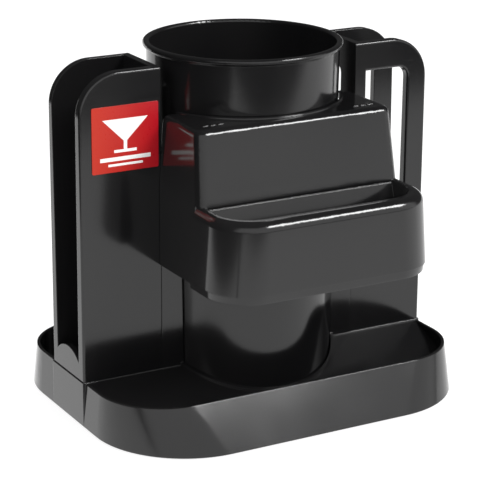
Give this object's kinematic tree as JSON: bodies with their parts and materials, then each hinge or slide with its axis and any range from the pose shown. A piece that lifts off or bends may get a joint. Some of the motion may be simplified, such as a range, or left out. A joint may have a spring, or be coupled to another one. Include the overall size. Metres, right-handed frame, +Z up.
{
  "type": "bar caddy",
  "caption": "Counter-top bar caddy in black moulded plastic: a tray, a lift-out round cup, side pockets and a front trough.",
  "frame": {"origin": "on the counter, on the axis of the round cup", "axes": "+Z up; +X along the tray to the right of someone facing the trough; the trough faces -Y"},
  "size_m": [0.2056, 0.1825, 0.19],
  "materials": {
    "black_moulding": "glossy",
    "red_label": "satin",
    "black_rubber": "matte",
    "plated_steel": "satin"
  },
  "bodies": {
    "caddy": {"base_tray": "black_moulding", "left_pocket": "black_moulding", "right_pocket": "black_moulding", "front_bin": "black_moulding", "label_panel": "red_label", "rubber_feet": "black_rubber", "pocket_screws": "plated_steel", "bin_screws": "plated_steel", "bin_washers": "plated_steel"},
    "cup": {"centre_cup": "black_moulding"}
  },
  "joints": [
    {"name": "cup_lift", "type": "slide", "parent": "caddy", "child": "cup", "axis": [0, 0, 1], "range_m": [0, 0.19]}
  ]
}
